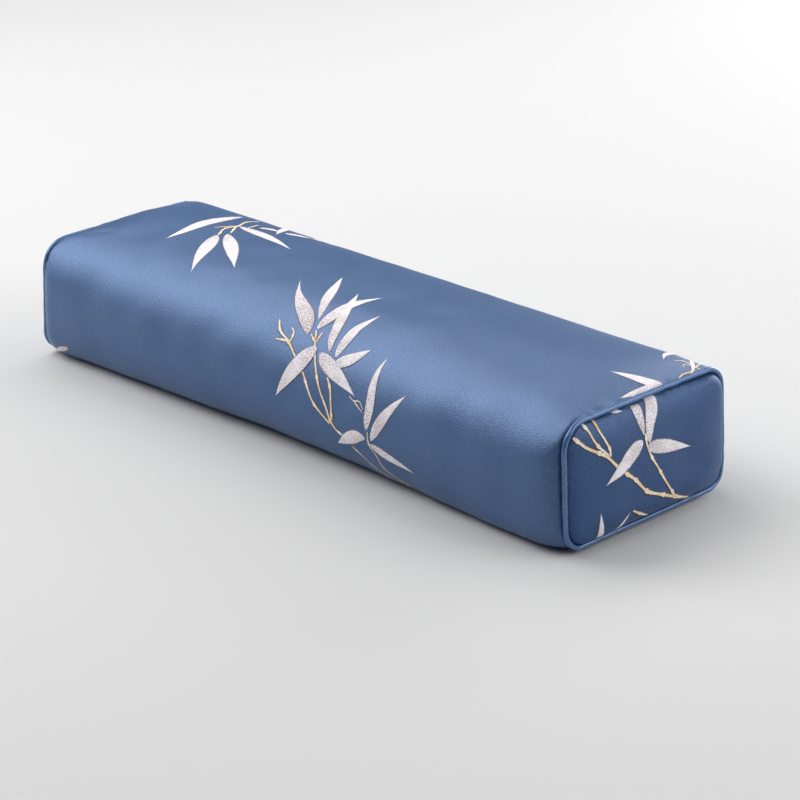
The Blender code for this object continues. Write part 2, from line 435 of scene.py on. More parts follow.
def make_panel_surface(end, seed):
    """A panel's outer face, with all its relief."""
    rim = seam_outline(end, PANEL_RIM)
    length = np.linalg.norm(rim - np.roll(rim, 1, axis=0), axis=1).sum()
    around = np.arange(COLUMNS) / COLUMNS * length
    rows = []
    for shrink in PANEL_SHRINKS:
        ring = seam_outline(end, PANEL_RIM, shrink)
        points = end_points(end, PANEL_FACE, ring)
        distance = np.linalg.norm(rim - ring, axis=1)
        dips = pucker_relief(distance, around, length, PANEL_PUCKERS, seed)
        dips += pucker_relief(distance, around, length, STITCH_PUCKERS, seed)
        tuck = -TUCK * np.exp(-distance / TUCK_REACH)
        low = smooth_step((PANEL_MIDDLE[1] - ring[:, 1]) / (PANEL_HEIGHT / 2), *LOW)
        behind = smooth_step(ring[:, 0] / (PANEL_WIDTH / 2), *BEHIND)
        swell = mix(mix(PANEL_ROLL, BASE_ROLL, low), BACK_ROLL, behind)
        swell *= 1.0 - CORNER_CALM * low * behind
        t = np.clip(distance / ROLL_REACH, 0.0, 1.0)
        roll = swell * np.sqrt(1.0 - (1.0 - t) ** 2)
        waves = husk_relief(*(ring.T * PANEL_CLOSER), seed + 5) * PANEL_HUSKS
        waves *= 1.0 - np.exp(-distance / PANEL_CALM)
        points[:, 0] += end.side * (dips + tuck + waves + roll)
        rows.append(points)
    points = np.array(rows)
    outward = np.zeros_like(points)
    outward[:, :, 0] = end.side
    return Surface(points, grid_normals(points, outward))


# The cloth's own tension: a coarse skin of the body, held at its seams and base, is blown
# up a little by the filling. What that moves it, less its broad swell, is its creases.

SKIN_ROWS = 130
SKIN_EASE = 0.9
SKIN_COLUMNS = COLUMNS // 2
SKIN_FRAMES = 14
SKIN_SLACK = 0.06  # the cloth is cut this much wider than the form near the seams
SLACK_REACH = 50.0 * MM
SEAM_HOLD = 0.05  # the pins' weight beside the seams, and in the middle
MIDDLE_HOLD = 0.15
HOLD_REACH = 60.0 * MM
REST_HEIGHT = 0.3 * MM  # what lies lower than this rests, and is held
SWELL_ROUNDS = 60  # of averaging, which leave the broad swell
CREASE_LIMIT = 0.6 * MM
CREASE_SHARE = 1.6
CLOTH = {
    "quality": 5,
    "mass": 0.2,
    "tension_stiffness": 25,
    "compression_stiffness": 25,
    "shear_stiffness": 8,
    "bending_stiffness": 0.2,
    "tension_damping": 10,
    "compression_damping": 10,
    "air_damping": 4,
    "use_pressure": True,
    "uniform_pressure_force": 3.0,
    "pin_stiffness": 0.3,
}


def make_skin(rings, hold, slack):
    """The body as one coarse closed skin with its cloth settings."""
    ends = [rings[0].mean(axis=0), rings[-1].mean(axis=0)]
    vertices = np.vstack([rings.reshape(-1, 3), ends])
    mesh = bpy.data.meshes.new("skin")
    mesh.from_pydata(vertices.tolist(), [], tube_faces(SKIN_ROWS, SKIN_COLUMNS))
    skin = link_object("skin", mesh)
    make_outward(skin)

    group = skin.vertex_groups.new(name="held")
    for i, weight in enumerate([*hold.ravel(), 1.0, 1.0]):
        group.add([i], float(weight), "REPLACE")

    skin.shape_key_add(name="Basis")
    cut = skin.shape_key_add(name="cut")
    middle = rings.mean(axis=1, keepdims=True)
    wider = middle + (rings - middle) * (1.0 + slack[..., None])
    cut.data.foreach_set("co", np.vstack([wider.reshape(-1, 3), ends]).ravel())

    cloth = skin.modifiers.new("Cloth", "CLOTH")
    cloth.collision_settings.use_collision = False
    cloth.point_cache.frame_start = 1
    cloth.point_cache.frame_end = SKIN_FRAMES
    settings = cloth.settings
    for key, value in CLOTH.items():
        setattr(settings, key, value)
    settings.rest_shape_key = cut
    settings.vertex_group_mass = "held"
    settings.effector_weights.gravity = 0.0
    return skin


def smoothed(grid, rounds):
    """A copy of a grid, whose columns close on themselves, averaged with its neighbours."""
    for _ in range(rounds):
        padded = np.vstack([grid[:1], grid, grid[-1:]])
        grid = grid / 2 + (padded[:-2] + padded[2:]) / 4
        grid = grid / 2 + (np.roll(grid, 1, axis=1) + np.roll(grid, -1, axis=1)) / 4
    return grid


def crease_relief(places):
    """The simulated skin's creases, at the given places and the body's columns."""

    skin_rows = ring_places(SKIN_ROWS, SKIN_EASE)
    rings = np.array([body_ring(x)[::2] for x in skin_rows])
    normals = grid_normals(rings, rings - rings.mean(axis=1, keepdims=True))
    distance = BODY_END - np.abs(skin_rows)[:, None]
    hold = mix(SEAM_HOLD, MIDDLE_HOLD, smooth_step(distance, 0.0, HOLD_REACH) ** 2)
    hold[0] = hold[-1] = 1.0
    hold = np.where(rings[:, :, 2] < REST_HEIGHT, 1.0, hold)
    slack = SKIN_SLACK * (1.0 - smooth_step(distance, 0.0, SLACK_REACH))
    skin = make_skin(rings, hold, slack)

    for frame_number in range(1, SKIN_FRAMES + 1):
        bpy.context.scene.frame_set(frame_number)
    held = skin.evaluated_get(bpy.context.evaluated_depsgraph_get())
    mesh = held.to_mesh()
    moved_to = np.empty(len(mesh.vertices) * 3)
    mesh.vertices.foreach_get("co", moved_to)
    held.to_mesh_clear()
    bpy.data.objects.remove(skin, do_unlink=True)
    bpy.context.scene.frame_set(1)

    moved_to = moved_to.reshape(-1, 3)[: rings.size // 3].reshape(rings.shape)
    out = np.sum((moved_to - rings) * normals, axis=2)
    creases = np.clip(out - smoothed(out, SWELL_ROUNDS), -CREASE_LIMIT, CREASE_LIMIT)
    row = np.interp(places, skin_rows, np.arange(SKIN_ROWS))
    row, column = np.meshgrid(row, np.arange(COLUMNS) / 2.0, indexing="ij")
    return read_grid(creases[..., None], row, column)[..., 0]


# Mesh pieces

def make_outward(obj, sliver=0.0):
    """Turn a piece's faces outward, once edges shorter than a sliver are dissolved."""
    bm = bmesh.new()
    bm.from_mesh(obj.data)
    if sliver:
        bmesh.ops.dissolve_degenerate(bm, dist=sliver, edges=bm.edges)
    bmesh.ops.recalc_face_normals(bm, faces=bm.faces)
    bm.to_mesh(obj.data)
    bm.free()


def link_mesh(name, vertices, faces, material, layers, sliver=0.0):
    """A piece with UV layers, each of which gives every vertex its two coordinates."""
    mesh = bpy.data.meshes.new(name)
    mesh.from_pydata(vertices.tolist(), [], faces)
    mesh.validate()
    loops = np.empty(len(mesh.loops), dtype=np.int64)
    mesh.loops.foreach_get("vertex_index", loops)
    for layer, uv in layers.items():
        mesh.uv_layers.new(name=layer).data.foreach_set("uv", uv[loops].ravel())
    mesh.shade_smooth()
    mesh.materials.append(material)
    obj = link_object(name, mesh)
    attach(obj, "root")
    make_outward(obj, sliver)
    return obj


def strip_faces(a, b, columns, closed):
    """Faces between two rows of points, which start at the points a and b."""
    reach = columns if closed else columns - 1
    ends = [(j, (j + 1) % columns) for j in range(reach)]
    return [(a + j, a + k, b + k, b + j) for j, k in ends]


def grid_faces(rows, columns, closed, start=0):
    faces = []
    for i in range(rows - 1):
        a = start + i * columns
        faces += strip_faces(a, a + columns, columns, closed)
    return faces


def tube_faces(rows, columns):
    """Faces of rings of points, each joined to the next, and of a fan at each end to one of
    the two middle points that follow the rings.
    """
    faces = grid_faces(rows, columns, True)
    end = rows * columns
    for start, middle in ((0, end), (end - columns, end + 1)):
        faces += [(start + j, start + (j + 1) % columns, middle) for j in range(columns)]
    return faces


def closed_tube(name, rings, middles, uv_rings, material):
    uv = np.vstack(uv_rings + [np.zeros((2, 2))])
    faces = tube_faces(len(rings), COLUMNS)
    return link_mesh(name, np.vstack(rings + middles), faces, material, {"cloth": uv})


def make_body(surface, material):
    """The outer cloth from the surface, closed by an end behind each panel."""
    far, near = (
        [end_points(end, -rim.inward, seam_outline(end, rim.outward, share)) for rim, share in CAP]
        for end in (FAR, NEAR)
    )
    rings = far[::-1] + list(surface.points) + near
    middles = [end_points(end, -RIM[-1].inward, PANEL_MIDDLE[None, :]) for end in (FAR, NEAR)]

    places = ring_places(BODY_ROWS, BODY_EASE)
    beyond = np.arange(1, len(CAP) + 1) * CAP_STEP
    places = np.concatenate([places[0] - beyond[::-1], places, places[-1] + beyond])
    around = np.arange(COLUMNS) / COLUMNS * GIRTH
    uv_rings = [np.column_stack([np.full(COLUMNS, place), around]) for place in places]
    return closed_tube("satin_body", rings, middles, uv_rings, material)


def make_panel(name, end, surface, material):
    """The sheet's outer face from the surface, its back a smooth one behind it."""
    back = [
        end_points(end, PANEL_BACK, seam_outline(end, PANEL_RIM, shrink))
        for shrink in PANEL_SHRINKS[::BACK_EVERY]
    ]
    rings = back[::-1] + list(surface.points)
    inner = end_points(end, PANEL_BACK, PANEL_MIDDLE[None, :])
    outer = surface.points[-1].mean(axis=0, keepdims=True)
    uv_rings = [ring[:, 1:] for ring in rings]
    return closed_tube(name, rings, [inner, outer], uv_rings, material)


CORD_SIDES = 20
CORD_STEPS = 420
CORD_WAVES = range(5, 40, 3)  # slow and quick waves of its unevenness around the loop
CORD_UNEVEN = 0.022 * MM
CORD_SWAY = 0.03 * MM
TURN = 6.28  # in radians
TAIL = 0.85 * MM  # the bias strip's fold, which runs in between body and panel
TAIL_IF_OUTWARD = 0.57  # where it is around the cord, in turns
TAIL_IF_INWARD = -0.07


def make_piping(name, end, seed, material):
    """The cord in its bias strip: a closed tube on the seam, with slight unevenness."""
    centre = end_points(end, 0.0, even_ring(seam_outline(end), CORD_STEPS))
    ahead = unit(np.roll(centre, -1, axis=0) - np.roll(centre, 1, axis=0))
    across = unit(np.cross(ahead, [end.side, 0.0, 0.0]))
    out = np.cross(across, ahead)
    length = lengths_along(centre)[-1]
    place = np.arange(CORD_STEPS) / CORD_STEPS * length
    draw = np.random.default_rng(seed)
    thick = np.zeros(CORD_STEPS)
    sway = np.zeros(CORD_STEPS)
    for waves in CORD_WAVES:
        wave = 2 * math.pi * waves * place / length
        thick += CORD_UNEVEN * np.sin(wave + draw.uniform(0, TURN))
        sway += CORD_SWAY * np.sin(wave + draw.uniform(0, TURN))
    outward = np.sum(across * (centre - centre.mean(axis=0))) > 0.0
    tail = round((TAIL_IF_OUTWARD if outward else TAIL_IF_INWARD) * CORD_SIDES) % CORD_SIDES
    rings = []
    uv = []
    for k in range(CORD_SIDES):
        angle = 2 * math.pi * k / CORD_SIDES
        radius = CORD_DIAMETER / 2 + thick[:, None] + (TAIL if k == tail else 0.0)
        offset = across * math.cos(angle) + out * math.sin(angle)
        rings.append(centre + offset * radius + across * sway[:, None])
        uv.append(np.column_stack([place, np.full(CORD_STEPS, angle * CORD_DIAMETER / 2)]))
    faces = grid_faces(CORD_SIDES, CORD_STEPS, True)
    faces += strip_faces((CORD_SIDES - 1) * CORD_STEPS, 0, CORD_STEPS, True)
    return link_mesh(name, np.vstack(rings), faces, material, {"cloth": np.vstack(uv)})


# The woven pattern

# A leaf runs along its spine from its base to its tip; widest is where along it, taper is
# how soon it narrows past that, and clear is how much fewer flecks it has.
Leaf = namedtuple("Leaf", "spine width widest taper clear", defaults=(0.33, 1.15, 0.0))
Stem = namedtuple("Stem", "points width")

LEAF_STEPS = 56
LEAF_SIDES = 8
LEAF_HEIGHT = 0.24 * MM
STEM_HEIGHT = 0.13 * MM  # leaves are woven over the stems that they cross
WEFT_ROOT = -0.12 * MM
WEFT_ENDS = 0.13 * MM  # the weft's floats end this unevenly along a leaf's edges
THIN_ENDS = 0.3  # but by no more than this share where it is thin
STEM_SIDES = 4
STEM_STEP = 0.5  # along a stem, in millimetres, as are the sizes below
STEM_UNIT = 10.0  # of its own coordinate along
STEM_PLAIN = 0.95  # shares of its width: between its nodes, and at its ends
STEM_END = 0.4
FIRST_NODE = (3.0, 8.0)
NODE_PITCH = (10.0, 20.0)
NODE_SWELL = (0.45, 1.15)
NODE_REACH = 1.5
NODE_CALM = 2.0  # none starts this near the stem's end
RING_AWAY = 3.8  # a node's second ring, lower than its first
RING_SHARE = (0.0, 0.5)
RING_REACH = 1.2
LAYERS = 4  # overlapping leaves lie at so many heights, one step apart
LAYER_STEP = 0.02 * MM
ROUNDING = 0.55  # how far a weft's edges are lower than its middle
SLIVER = 0.01 * MM
WEAVE_END = 0.99  # on a panel, as a share of the way to its rim


def leaf_half_width(t, leaf):
    """A bamboo leaf's half width along it, from 0 to 1, as a share of its widest."""
    rise = leaf.taper * leaf.widest / (1.0 - leaf.widest)
    return (t / leaf.widest) ** rise * ((1.0 - t) / (1.0 - leaf.widest)) ** leaf.taper


def ribbon(line, left, right, sides):
    """A grid of cloth coordinates along a line, out to half widths on its two sides."""
    ahead = unit(np.gradient(line, axis=0))
    normal = np.column_stack([-ahead[:, 1], ahead[:, 0]])
    across = np.linspace(-1.0, 1.0, sides + 1)
    out = np.where(across < 0.0, left[:, None], right[:, None]) * across
    return line[:, None, :] + normal[:, None, :] * out[:, :, None], across


def leaf_patch(leaf, seed):
    """A leaf's grid of cloth coordinates, in metres, with its own (along, across)."""
    draw = np.random.default_rng(seed)
    t = 0.5 - 0.5 * np.cos(np.linspace(0.0, math.pi, LEAF_STEPS))
    even = smooth_line(leaf.spine, 4 * LEAF_STEPS) * MM
    share = np.linspace(0.0, 1.0, len(even))
    line = np.column_stack([np.interp(t, share, values) for values in even.T])
    half = leaf_half_width(t, leaf) * leaf.width * MM / 2
    uneven = np.minimum(WEFT_ENDS, half * THIN_ENDS)
    edges = [half + draw.uniform(-1.0, 1.0, LEAF_STEPS) * uneven for _ in range(2)]
    grid, across = ribbon(line, *edges, LEAF_SIDES)
    own = np.stack(np.broadcast_arrays(t[:, None] + leaf.clear, across[None, :]), axis=2)
    return grid, own


def smooth_line(points, count):
    """A smooth curve through points, as count points along it."""
    points = np.array(points, dtype=float)
    lengths = lengths_along(points)
    slopes = np.gradient(points, lengths, axis=0)
    places = np.linspace(0.0, lengths[-1], count)
    i = np.clip(np.searchsorted(lengths, places, side="right") - 1, 0, len(points) - 2)
    span = (lengths[i + 1] - lengths[i])[:, None]
    t = (places - lengths[i])[:, None] / span
    return curve_between(points[i], slopes[i] * span, points[i + 1], slopes[i + 1] * span, t)


def stem_patch(stem, seed):
    """A stem's grid: a ribbon along its line, with a bamboo's paired rings at its nodes,
    uneven from one side to the other.
    """
    draw = np.random.default_rng(seed)
    reach = sum(math.dist(a, b) for a, b in zip(stem.points, stem.points[1:]))
    count = round(reach / STEM_STEP)
    line = smooth_line(stem.points, count) * MM
    place = np.linspace(0.0, reach, count)
    edges = np.full((2, count), STEM_PLAIN)
    node = draw.uniform(*FIRST_NODE)
    while node < reach - NODE_CALM:
        for edge in edges:
            swell = draw.uniform(*NODE_SWELL)
            edge += swell * np.exp(-(((place - node) / NODE_REACH) ** 2))
            ring = draw.uniform(*RING_SHARE) * swell
            edge += ring * np.exp(-(((place - node - RING_AWAY) / RING_REACH) ** 2))
        node += draw.uniform(*NODE_PITCH)
    edges *= stem.width * MM / 2
    edges[:, [0, -1]] *= STEM_END
    grid, across = ribbon(line, *edges, STEM_SIDES)
    own = np.stack(np.broadcast_arrays(place[:, None] / STEM_UNIT, across[None, :]), axis=2)
    return grid, own


def weave_piece(name, patches, reader, material, height):
    """Lay each patch on a surface as a thin closed shell that stands a little proud."""
    vertices, faces, own_uv, cloth_uv = [], [], [], []
    count = 0
    for order, (grid, own) in enumerate(patches):
        points, normals, inside = reader(grid[..., 0], grid[..., 1])
        kept = inside.any(axis=1)
        grid, own, points, normals = (part[kept] for part in (grid, own, points, normals))
        rows, columns = grid.shape[:2]
        across = np.abs(own[..., 1])
        proud = (height + (order % LAYERS) * LAYER_STEP) * (1.0 - ROUNDING * across**4)
        top = points + normals * proud[..., None]
        root = points + normals * WEFT_ROOT
        vertices += [top.reshape(-1, 3), root.reshape(-1, 3)]
        own_uv += [own.reshape(-1, 2)] * 2
        cloth_uv += [grid.reshape(-1, 2)] * 2
        size = rows * columns
        faces += grid_faces(rows, columns, False, count)
        faces += [f[::-1] for f in grid_faces(rows, columns, False, count + size)]
        at = np.arange(count, count + size).reshape(rows, columns)
        rim = [*at[:, 0], *at[-1, 1:], *at[-2::-1, -1], *at[0, -2:0:-1]]
        faces += [(a, b, b + size, a + size) for a, b in zip(rim, rim[1:] + rim[:1])]
        count += 2 * size
    layers = {"cloth": np.vstack(own_uv), "weave": np.vstack(cloth_uv)}
    return link_mesh(name, np.vstack(vertices), faces, material, layers, SLIVER)


def weave_pattern(word, leaves, stems, reader, leaf_weft, stem_weft):
    """The leaves and the stems on one surface, as two pieces."""
    patches = [leaf_patch(leaf, seed) for seed, leaf in enumerate(leaves)]
    piece = weave_piece(f"leaves_{word}", patches, reader, leaf_weft, LEAF_HEIGHT)
    patches = [stem_patch(stem, seed) for seed, stem in enumerate(stems)]
    piece = weave_piece(f"stems_{word}", patches, reader, stem_weft, STEM_HEIGHT)


def read_surface(surface, row, column):
    normals = read_grid(surface.normals, row, column)
    return read_grid(surface.points, row, column), unit(normals)


def body_reader(surface):
    """Reads the body by its cloth's own coordinates, and says which of them are on it."""
    places = ring_places(BODY_ROWS, BODY_EASE)

    def read(along, around):
        row = np.interp(along, places, np.arange(BODY_ROWS))
        column = around / GIRTH * COLUMNS
        return *read_surface(surface, row, column), np.abs(along) < BODY_END

    return read


def panel_reader(end, surface):
    """Reads a panel's face at y and z, and says which of them are on it."""
    middle = PANEL_MIDDLE
    rim = seam_outline(end, PANEL_RIM)
    rim_angles = np.unwrap(np.arctan2(rim[:, 1] - middle[1], rim[:, 0] - middle[0]))
    start, turn = rim_angles[0], np.sign(rim_angles[-1] - rim_angles[0])
    swept = np.append((rim_angles - start) * turn, 2 * math.pi)
    reach = np.linalg.norm(rim - middle, axis=1)
    reach = np.append(reach, reach[0])
    shrinks = PANEL_SHRINKS[::-1]

    def read(y, z):
        angle = ((np.arctan2(z - middle[1], y - middle[0]) - start) * turn) % (2 * math.pi)
        column = np.interp(angle, swept, np.arange(COLUMNS + 1.0))
        distance = np.hypot(y - middle[0], z - middle[1])
        shrink = distance / np.interp(column, np.arange(COLUMNS + 1.0), reach)
        row = len(shrinks) - 1 - np.interp(shrink, shrinks, np.arange(len(shrinks)))
        return *read_surface(surface, row, column), shrink < WEAVE_END

    return read


# The pattern's sprigs that show, in cloth millimetres, then those of the hidden sides.

BODY_LEAVES = (
    # the tall sprig on the middle of the front edge
    Leaf(
        ((11, 152), (5, 159), (-3, 166), (-11, 171), (-23, 180), (-35, 192), (-43, 202)),
        12.2, 0.25, 2.5, -0.35,
    ),
    Leaf(((10, 165), (5, 174), (-3, 187), (-12, 202), (-22, 219)), 7.8, 0.42),
    Leaf(((15, 158), (18, 177), (19, 190), (20, 201), (23, 212)), 10.5, 0.33, 1.2),
    Leaf(((36, 146), (32, 154), (28, 165), (15, 192), (7, 205)), 8.4, 0.36),
    Leaf(((43, 144), (43, 159), (43, 169), (45, 178), (46, 187)), 9.0, 0.36),
    Leaf(((44, 139), (51, 143), (57, 147), (67, 157)), 9.4, 0.38),
    Leaf(((29, 143), (37, 139), (47, 135), (57, 131), (70, 125)), 11.6, 0.34),
    Leaf(((24, 146), (14, 130), (8, 120), (0, 106)), 13.2, 0.33),
    # the low sprig beside it
    Leaf(((84, 107), (85, 125), (83, 136), (82, 147), (83, 157)), 8.0, 0.33),
    Leaf(((88, 101), (99, 120), (113, 138)), 8.2, 0.36),
    Leaf(((87, 98), (105, 94), (125, 90)), 5.7, 0.34),
    Leaf(((83, 101), (76, 100), (69, 97), (56, 89)), 9.8, 0.42, 1.15, 0.2),
    # the arched sprig near the far end
    Leaf(((-177, 271), (-176, 236), (-170, 194)), 11.0, 0.40),
    Leaf(((-150, 223), (-133, 196), (-115, 168)), 11.4, 0.34, 1.3),
    Leaf(((-147, 230), (-118, 208), (-90, 185)), 11.4, 0.34, 1.4),
    Leaf(((-155, 249), (-128, 247), (-92, 238)), 9.0),
    Leaf(((-146, 259), (-141, 263), (-130, 264)), 6.0),
    Leaf(((-143, 284), (-135, 271), (-125, 255)), 6.0),
    Leaf(((-125, 264), (-117, 269), (-107, 274)), 6.0),
    Leaf(((-108, 274), (-100, 278), (-84, 276)), 6.0),
    # leaves that the near seam cuts
    Leaf(((260, 246), (241, 235), (225, 226), (214, 220)), 10.5, 0.42),
    Leaf(((245, 246), (242, 232), (240, 215), (239, 202)), 8.0, 0.45),
    Leaf(((213, 292), (212, 281), (213, 273), (219, 264)), 4.8),
    Leaf(((219, 289), (230, 279), (236, 274), (245, 267)), 3.4, 0.5),
    # a tip at the far corner of the base
    Leaf(((-217, 82), (-230, 76), (-238, 70)), 4.8),
)

BODY_STEMS = (
    Stem(((20, 149), (32, 131), (38, 122), (46, 111), (51, 103), (57, 98), (63, 96)), 2.3),
    Stem(((13, 153), (20, 149)), 1.6),
    Stem(((15, 157), (19, 151)), 1.6),
    Stem(((21, 157), (21, 149)), 1.6),
    Stem(((-18, 155), (-13, 149), (-1, 143), (9, 136), (20, 128), (36, 110), (50, 101)), 2.3),
    Stem(((-5, 153), (-1, 150), (0, 146), (0, 142)), 1.8),
    Stem(((-12, 142), (-5, 143), (0, 143)), 1.8),
    Stem(((43, 130), (47, 125), (50, 114), (52, 104)), 2.4),
    Stem(((69, 91), (79, 85), (90, 78), (98, 74), (112, 70), (133, 69)), 1.2),
    Stem(((85, 106), (86, 98), (92, 92), (97, 84), (104, 79), (116, 74)), 1.3),
    Stem(((65, 124), (70, 122), (75, 123), (80, 119)), 0.9),
    Stem(((70, 122), (76, 119), (80, 117)), 0.9),
    Stem(((-150, 224), (-158, 239), (-157, 247), (-163, 263), (-162, 274)), 2.2),
    Stem(((-148, 234), (-157, 247)), 2.0),
    Stem(((-164, 233), (-158, 247)), 1.5),
    Stem(((-150, 252), (-153, 264)), 1.6),
    Stem(((223, 270), (225, 275), (228, 276), (233, 275)), 1.5),
    Stem(((232, 268), (230, 272), (233, 274)), 1.4),
    Stem(((242, 255), (240, 261), (240, 269), (237, 274)), 1.7),
    Stem(((243, 263), (241, 269), (237, 274)), 1.5),
    Stem(((238, 273), (234, 282), (232, 291)), 1.5),
    Stem(((235, 277), (239, 277), (243, 278)), 1.4),
)

# The same cloth on the back: the sprigs that show there are repeats of the front's, this
# far along and around from them. Each row takes a run of the tables above.
Repeat = namedtuple("Repeat", "along around leaves stems")
BACK_REPEATS = (
    Repeat(-165, 208, slice(0, 12), slice(0, 8)),
    Repeat(255, 130, slice(12, 20), slice(12, 16)),
    Repeat(78, 232, slice(0, 8), slice(0, 8)),
)

PANEL_LEAVES = (
    Leaf(((-10, 63), (-11, 71), (-11, 79), (-8, 104)), 8.8, 0.48, 0.9),
    Leaf(((-6, 57), (-4, 68), (3, 79), (15, 102)), 9.8, 0.42, 0.9, 0.2),
    Leaf(((-12, 60), (-20, 56), (-29, 50), (-45, 41)), 11.6, 0.34, 1.15, 0.3),
    Leaf(((-8, 55), (1, 53), (12, 50), (33, 44)), 10.0, 0.31, 1.2),
    Leaf(((-47, -2), (-49, 12), (-50, 25)), 6.0),
    Leaf(((-37, 2), (-31, 11), (-25, 18)), 3.6),
    Leaf(((-36, 86), (-30, 82), (-22, 80)), 3.0),
)

PANEL_STEMS = (
    Stem(
        (
            (-69, 78), (-60, 69), (-44, 59), (-34, 49), (-19, 37),
            (-9, 27), (6, 20), (18, 15), (34, 9),
        ),
        3.0,
    ),
    Stem(((-60, 84), (-56, 79), (-52, 70), (-42, 59)), 2.3),
    Stem(((-48, 84), (-47, 76), (-44, 69), (-41, 62), (-41, 58)), 2.3),
    Stem(((-9, 64), (-8, 56), (-5, 49), (1, 40), (8, 29), (18, 15)), 2.3),
    Stem(((-22, 18), (-15, 14), (-3, 8)), 2.2),
)


def placed(rows, sign, shift):
    """Leaves or stems whose points are a sign times their own, and shifted."""
    return [
        type(row)([tuple(sign * np.array(point) + shift) for point in row[0]], *row[1:])
        for row in rows
    ]


def moved(rows, repeat):
    """Leaves or stems a repeat further along and around the cloth."""
    return placed(rows, 1, np.array([repeat.along, repeat.around]))


def turned(rows):
    """Leaves or stems of a panel, half a turn about its middle."""
    return placed(rows, -1, 2 * PANEL_MIDDLE / MM)


# Materials

class Shading:
    """A material and its nodes. Each input of a node is fed a value or another's output."""

    def __init__(self, name):
        self.material = bpy.data.materials.new(name)
        self.material.use_nodes = True
        self.tree = self.material.node_tree

    def feed(self, node, inputs):
        for key, value in inputs.items():
            if isinstance(value, bpy.types.NodeSocket):
                self.tree.links.new(value, node.inputs[key])
            else:
                node.inputs[key].default_value = value

    def add(self, kind, inputs, **settings):
        node = self.tree.nodes.new(kind)
        for key, value in settings.items():
            setattr(node, key, value)
        self.feed(node, inputs)
        return node

    def uv(self, layer):
        return self.add("ShaderNodeUVMap", {}, uv_map=layer).outputs["UV"]

    def noise(self, vector, scale, detail, roughness=0.5):
        inputs = {"Vector": vector, "Scale": scale, "Detail": detail, "Roughness": roughness}
        return self.add("ShaderNodeTexNoise", inputs).outputs["Fac"]

    def ranged(self, value, low, high, to_low=0.0, to_high=1.0):
        inputs = {"Value": value, "From Min": low, "From Max": high}
        inputs |= {"To Min": to_low, "To Max": to_high}
        return self.add("ShaderNodeMapRange", inputs).outputs["Result"]

    def blended(self, factor, a, b):
        """A colour from a to b; these are the mix node's sockets for colours."""
        return self.add("ShaderNodeMix", {0: factor, 6: a, 7: b}, data_type="RGBA").outputs[2]

    def bumped(self, height, strength, distance):
        inputs = {"Height": height, "Strength": strength, "Distance": distance}
        return self.add("ShaderNodeBump", inputs).outputs["Normal"]

    def finished(self, inputs):
        self.feed(self.tree.nodes["Principled BSDF"], inputs)
        return self.material


Satin = namedtuple("Satin", "base shade roughness gloss nap")
BODY_SATIN = Satin((0.080, 0.172, 0.368), (0.034, 0.083, 0.199), 0.33, 0.65, 0.8)
# Painted shade: the end panels are the same satin as the body, given darker colours because less
# light falls on the ends.
PANEL_SATIN_PAINTED_SHADE = Satin((0.054, 0.124, 0.290), (0.020, 0.054, 0.146), 0.36, 0.35, 0.8)
# Painted light: the cord is the same satin as the body, given lighter colours because it catches
# more light.
CORD_SATIN_PAINTED_LIGHT = Satin((0.098, 0.205, 0.430), (0.050, 0.118, 0.270), 0.20, 0.8, 0.3)
SATIN_SHEEN = {  # of every satin
    "Metallic": 0.28,
    "Sheen Weight": 0.05,
    "Sheen Roughness": 0.4,
    "Sheen Tint": (0.55, 0.7, 1.0, 1.0),
}
GRAIN = (650.0, 1300.0, 1.0)  # threads to a metre, along the cloth and around it
THREAD_RANGE = (0.34, 0.66)  # the noise, from sunken threads to raised ones
SUNKEN_ROUGH = 0.17  # how much rougher the sunken ones are
RAISED_SMOOTH = 0.05  # and how much smoother the raised ones
CLOUDS = 28.0  # to a metre, in the cloth's broad colour
CLOUD_SHARE = 0.3
NAP_HEIGHT = 0.35 * MM


def satin(name, look):
    """Satin in the cloth's own coordinates: fine floats along it, uneven thread colour."""
    make = Shading(name)
    uv = make.uv("cloth")
    stretch = make.add("ShaderNodeMapping", {"Vector": uv, "Scale": GRAIN})
    grain = make.noise(stretch.outputs["Vector"], 1.0, 3.0, 0.6)
    threads = make.ranged(grain, *THREAD_RANGE)
    clouds = make.noise(uv, CLOUDS, 2.0)
    inputs = {"Factor": CLOUD_SHARE, "A": threads, "B": clouds}
    share = make.add("ShaderNodeMix", inputs, data_type="FLOAT").outputs["Result"]
    rough, smooth = look.roughness + SUNKEN_ROUGH, look.roughness - RAISED_SMOOTH
    return make.finished(SATIN_SHEEN | {
        "Base Color": make.blended(share, (*look.shade, 1.0), (*look.base, 1.0)),
        "Roughness": make.ranged(threads, 0.0, 1.0, rough, smooth),
        "Specular IOR Level": look.gloss,
        "Normal": make.bumped(grain, look.nap, NAP_HEIGHT),
    })


# A weft's colours, where across it the outline starts, how much clearer of flecks it gets
# along its length, and the noise below which a thread is dark. Its outline is painted
# shadow along the raised weft's edges, all round it.
Weft = namedtuple("Weft", "light warm dark outline edge clearer flecks")
LEAF_WEFT = Weft(
    light=(0.96, 0.93, 0.98), warm=(0.85, 0.78, 0.82), dark=(0.30, 0.23, 0.25),
    outline=(0.13, 0.10, 0.14), edge=0.82, clearer=0.14, flecks=0.41,
)
STEM_WEFT = Weft(
    light=(1.0, 0.95, 0.82), warm=(0.95, 0.70, 0.42), dark=(0.58, 0.36, 0.20),
    outline=(0.06, 0.03, 0.03), edge=0.54, clearer=0.0, flecks=0.33,
)
TONES = 120.0  # patches of the two tones, and flecks, to a metre
FLECKS = 1150.0
TONE_RANGE = (0.40, 0.60)
FLECK_SOFT = 0.13
PAINTED_SHADOW_SOFT = 0.12
WEFT_BUMP = 0.2 * MM


